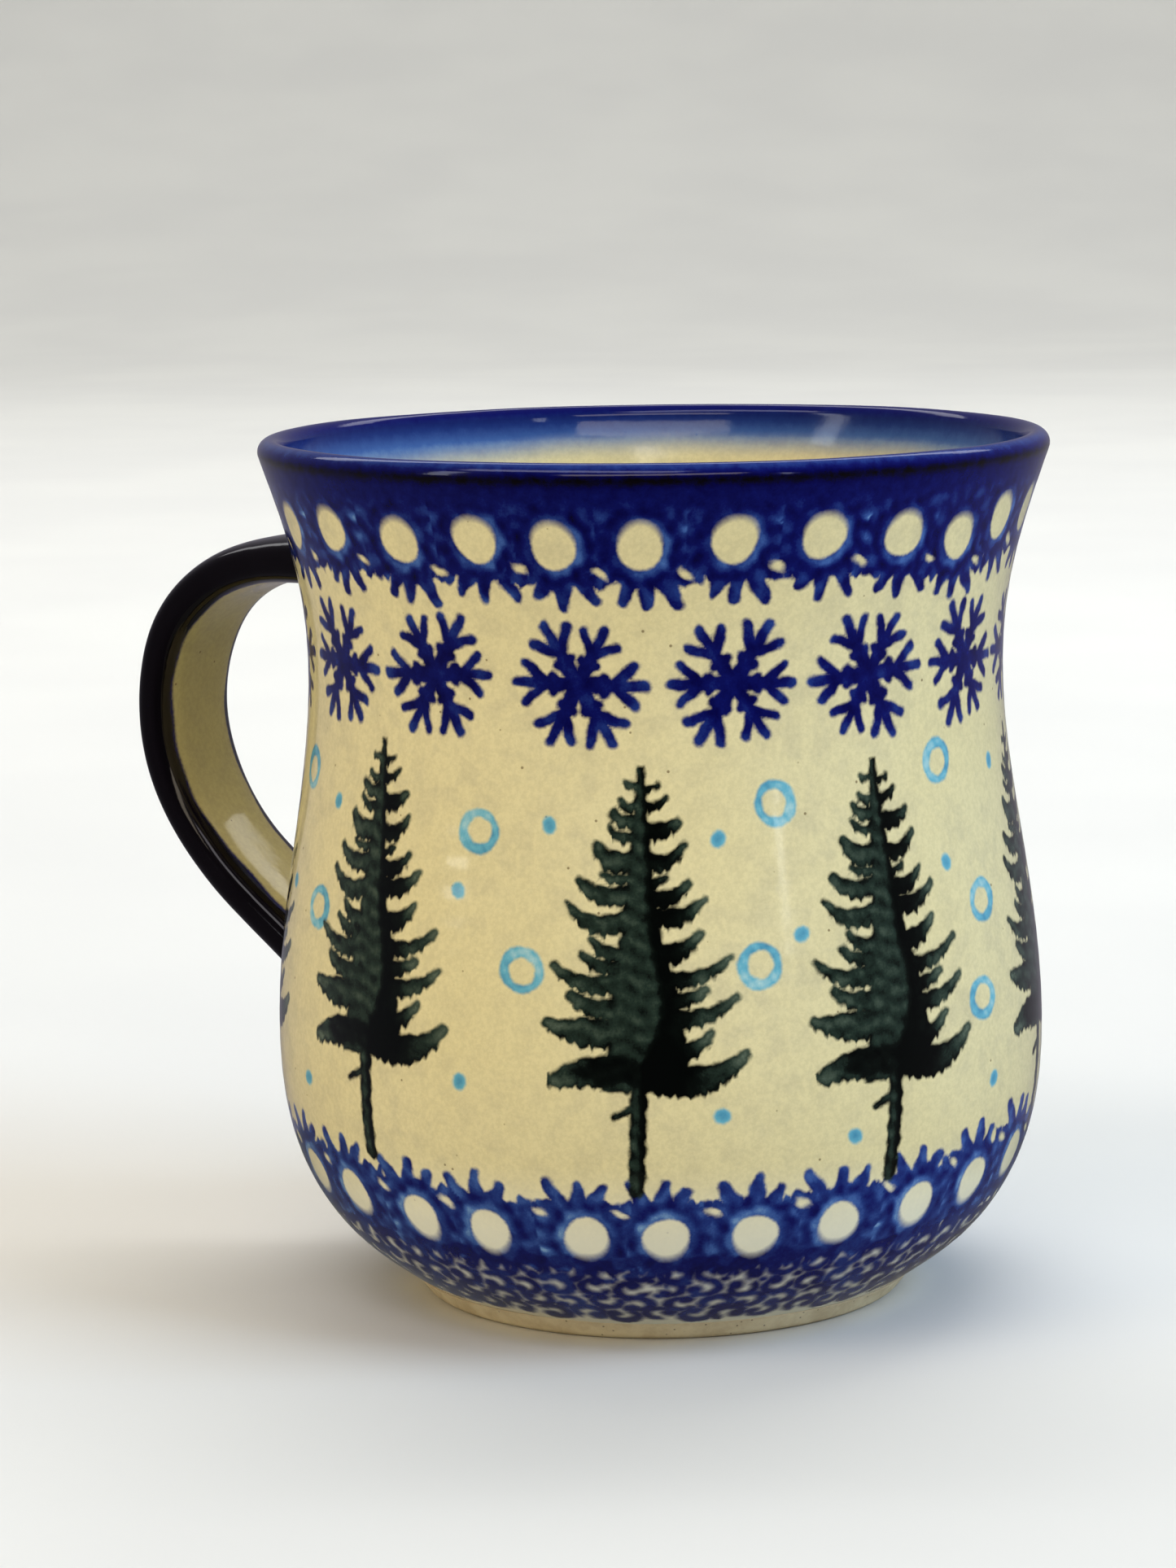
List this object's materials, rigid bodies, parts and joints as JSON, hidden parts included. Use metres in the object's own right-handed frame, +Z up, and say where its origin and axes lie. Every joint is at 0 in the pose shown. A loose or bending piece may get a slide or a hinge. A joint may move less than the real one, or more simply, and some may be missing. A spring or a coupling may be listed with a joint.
{
  "type": "mug",
  "caption": "Stoneware mug with a round belly, a waist, a flared lip, a foot ring and a strap handle, glazed over stamped decoration.",
  "frame": {"origin": "centre of the foot ring's resting face", "axes": "+Z up along the mug's axis; the handle stands towards -X; +Y completes a right-handed frame"},
  "size_m": [0.1146, 0.0902, 0.099],
  "materials": {
    "bare_clay": "unglazed fired stoneware, matt and slightly gritty",
    "decorated_glaze": "glossy cream glaze over a stamped blue and dark green decoration",
    "cream_glaze": "glossy cream glaze with fine specks",
    "cobalt_glaze": "glossy, nearly black cobalt blue glaze"
  },
  "bodies": {
    "root": {"stoneware_body": "bare_clay", "foot_ring": "bare_clay", "outer_glaze": "decorated_glaze", "inner_glaze": "cream_glaze", "rim_band": "cobalt_glaze", "base_glaze": "cream_glaze", "handle_strap": "cobalt_glaze", "upper_handle_slip": "cobalt_glaze", "lower_handle_slip": "cobalt_glaze"}
  },
  "joints": []
}
